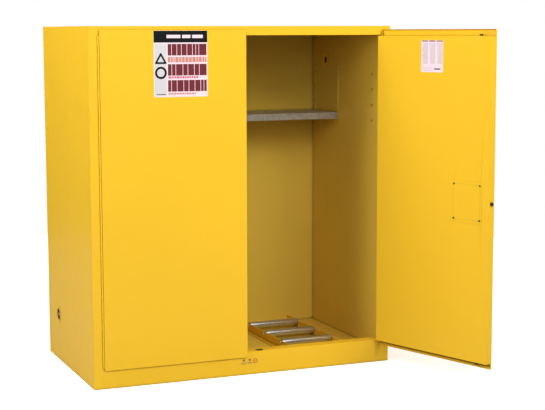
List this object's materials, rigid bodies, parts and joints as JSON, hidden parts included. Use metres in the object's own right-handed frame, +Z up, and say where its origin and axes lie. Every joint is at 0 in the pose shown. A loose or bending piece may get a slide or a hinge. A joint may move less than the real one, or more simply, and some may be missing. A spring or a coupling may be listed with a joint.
{
  "type": "flammable storage cabinet",
  "caption": "Double-walled steel safety cabinet with two hinged doors, three-point latch, leakproof sill, roller carriages for upright drums and a lift-out half shelf.",
  "frame": {"origin": "centre of the base footprint, on the floor", "axes": "+Z up, -Y is the front that the doors close, +X to the right of somebody in front of the cabinet"},
  "size_m": [1.7002, 1.5503, 1.651],
  "materials": {
    "yellow_enamel": "satin yellow powder coat",
    "galvanised": "galvanised sheet with faint spangle",
    "bright_zinc": "zinc-plated steel",
    "dark_steel": "oiled dark steel",
    "black_enamel": "satin black enamel",
    "handle_enamel": "black enamel casting"
  },
  "bodies": {
    "cabinet": {"outer_side_right": "yellow_enamel", "outer_side_left": "yellow_enamel", "outer_back": "yellow_enamel", "outer_top": "yellow_enamel", "base_pan": "yellow_enamel", "liner_side_right": "yellow_enamel", "liner_side_left": "yellow_enamel", "liner_back": "yellow_enamel", "liner_ceiling": "yellow_enamel", "spill_floor": "yellow_enamel", "frame_stile_right": "yellow_enamel", "frame_stile_left": "yellow_enamel", "frame_header": "yellow_enamel", "frame_sill": "yellow_enamel", "strike_plates": "dark_steel", "hinge_frame_leaves": "yellow_enamel", "hinge_pins": "bright_zinc", "vent_flanges": "yellow_enamel", "vent_screens": "dark_steel", "vent_plugs": "black_enamel", "ground_connector": "bright_zinc", "shelf_hangers": "yellow_enamel", "drum_rails": "yellow_enamel", "roller_axles": "bright_zinc"},
    "door_left": {"door_left_skin": "yellow_enamel", "door_left_pan": "yellow_enamel", "hinge_door_leaf_left": "yellow_enamel", "edge_strike": "bright_zinc", "catch_barrels": "bright_zinc", "catch_spring_top": "dark_steel", "catch_spring_bottom": "dark_steel"},
    "door_right": {"door_right_skin": "yellow_enamel", "door_right_pan": "yellow_enamel", "hinge_door_leaf_right": "yellow_enamel", "latch_cover": "yellow_enamel", "cover_screws": "dark_steel", "latch_escutcheon": "black_enamel", "latch_chassis": "bright_zinc", "bolt_guides": "bright_zinc", "handle_spring": "dark_steel"},
    "handle": {"latch_handle": "handle_enamel", "latch_cam": "bright_zinc"},
    "key_core": {"lock_plug": "bright_zinc"},
    "rod_top": {"latch_rod_top": "dark_steel"},
    "rod_bottom": {"latch_rod_bottom": "dark_steel"},
    "bolt_middle": {"latch_bolt_middle": "dark_steel"},
    "catch_top": {"catch_nose_top": "dark_steel"},
    "catch_bottom": {"catch_nose_bottom": "dark_steel"},
    "shelf": {"shelf": "galvanised"},
    "roller_left_1": {"drum_roller_left_1": "bright_zinc"},
    "roller_left_2": {"drum_roller_left_2": "bright_zinc"},
    "roller_left_3": {"drum_roller_left_3": "bright_zinc"},
    "roller_right_1": {"drum_roller_right_1": "bright_zinc"},
    "roller_right_2": {"drum_roller_right_2": "bright_zinc"},
    "roller_right_3": {"drum_roller_right_3": "bright_zinc"},
    "foot_1": {"levelling_foot_1": "bright_zinc"},
    "foot_2": {"levelling_foot_2": "bright_zinc"},
    "foot_3": {"levelling_foot_3": "bright_zinc"},
    "foot_4": {"levelling_foot_4": "bright_zinc"}
  },
  "joints": [
    {"name": "door_left_swing", "type": "hinge", "parent": "cabinet", "child": "door_left", "pos_m": [-0.705, -0.436, 0.85], "axis": [0, 0, -1], "range_deg": [0, 170]},
    {"name": "door_right_swing", "type": "hinge", "parent": "cabinet", "child": "door_right", "pos_m": [0.705, -0.436, 0.85], "axis": [0, 0, 1], "range_deg": [-109, 61]},
    {"name": "handle_turn", "type": "hinge", "parent": "door_right", "child": "handle", "pos_m": [0.91083, -1.0215, 0.851], "axis": [0.9455, 0.3256, 0], "range_deg": [0, 45], "stiffness_Nm_per_rad": 1, "springref_deg": -11.46},
    {"name": "key_turn", "type": "hinge", "parent": "handle", "child": "key_core", "pos_m": [0.92974, -1.01499, 0.851], "axis": [0.9455, 0.3256, 0], "range_deg": [0, 90]},
    {"name": "rod_top_slide", "type": "slide", "parent": "door_right", "child": "rod_top", "axis": [0, 0, -1], "range_m": [0, 0.01]},
    {"name": "rod_bottom_slide", "type": "slide", "parent": "door_right", "child": "rod_bottom", "axis": [0, 0, 1], "range_m": [0, 0.01]},
    {"name": "bolt_middle_slide", "type": "slide", "parent": "door_right", "child": "bolt_middle", "axis": [-0.3256, 0.9455, 0], "range_m": [0, 0.01]},
    {"name": "catch_top_press", "type": "slide", "parent": "door_left", "child": "catch_top", "axis": [0, 0, -1], "range_m": [0, 0.008], "stiffness_N_per_m": 600, "springref_m": -0.008, "deforming": ["catch_spring_top"]},
    {"name": "catch_bottom_press", "type": "slide", "parent": "door_left", "child": "catch_bottom", "axis": [0, 0, 1], "range_m": [0, 0.008], "stiffness_N_per_m": 600, "springref_m": -0.008, "deforming": ["catch_spring_bottom"]},
    {"name": "shelf_lift", "type": "slide", "parent": "cabinet", "child": "shelf", "axis": [0, 0, 1], "range_m": [0, 0.06]},
    {"name": "roller_left_1_spin", "type": "hinge", "parent": "cabinet", "child": "roller_left_1", "pos_m": [-0.4, -0.215, 0.089], "axis": [1, 0, 0], "continuous": true},
    {"name": "roller_left_2_spin", "type": "hinge", "parent": "cabinet", "child": "roller_left_2", "pos_m": [-0.4, 0, 0.089], "axis": [1, 0, 0], "continuous": true},
    {"name": "roller_left_3_spin", "type": "hinge", "parent": "cabinet", "child": "roller_left_3", "pos_m": [-0.4, 0.215, 0.089], "axis": [1, 0, 0], "continuous": true},
    {"name": "roller_right_1_spin", "type": "hinge", "parent": "cabinet", "child": "roller_right_1", "pos_m": [0.4, -0.215, 0.089], "axis": [1, 0, 0], "continuous": true},
    {"name": "roller_right_2_spin", "type": "hinge", "parent": "cabinet", "child": "roller_right_2", "pos_m": [0.4, 0, 0.089], "axis": [1, 0, 0], "continuous": true},
    {"name": "roller_right_3_spin", "type": "hinge", "parent": "cabinet", "child": "roller_right_3", "pos_m": [0.4, 0.215, 0.089], "axis": [1, 0, 0], "continuous": true},
    {"name": "foot_1_adjust", "type": "slide", "parent": "cabinet", "child": "foot_1", "axis": [0, 0, -1], "range_m": [0, 0.02]},
    {"name": "foot_2_adjust", "type": "slide", "parent": "cabinet", "child": "foot_2", "axis": [0, 0, -1], "range_m": [0, 0.02]},
    {"name": "foot_3_adjust", "type": "slide", "parent": "cabinet", "child": "foot_3", "axis": [0, 0, -1], "range_m": [0, 0.02]},
    {"name": "foot_4_adjust", "type": "slide", "parent": "cabinet", "child": "foot_4", "axis": [0, 0, -1], "range_m": [0, 0.02]}
  ],
  "couplings": [
    {"joint": "rod_top_slide", "follows": "handle_turn", "m_per_rad": 0.01273},
    {"joint": "rod_bottom_slide", "follows": "handle_turn", "m_per_rad": 0.01273},
    {"joint": "bolt_middle_slide", "follows": "handle_turn", "m_per_rad": 0.01273}
  ]
}
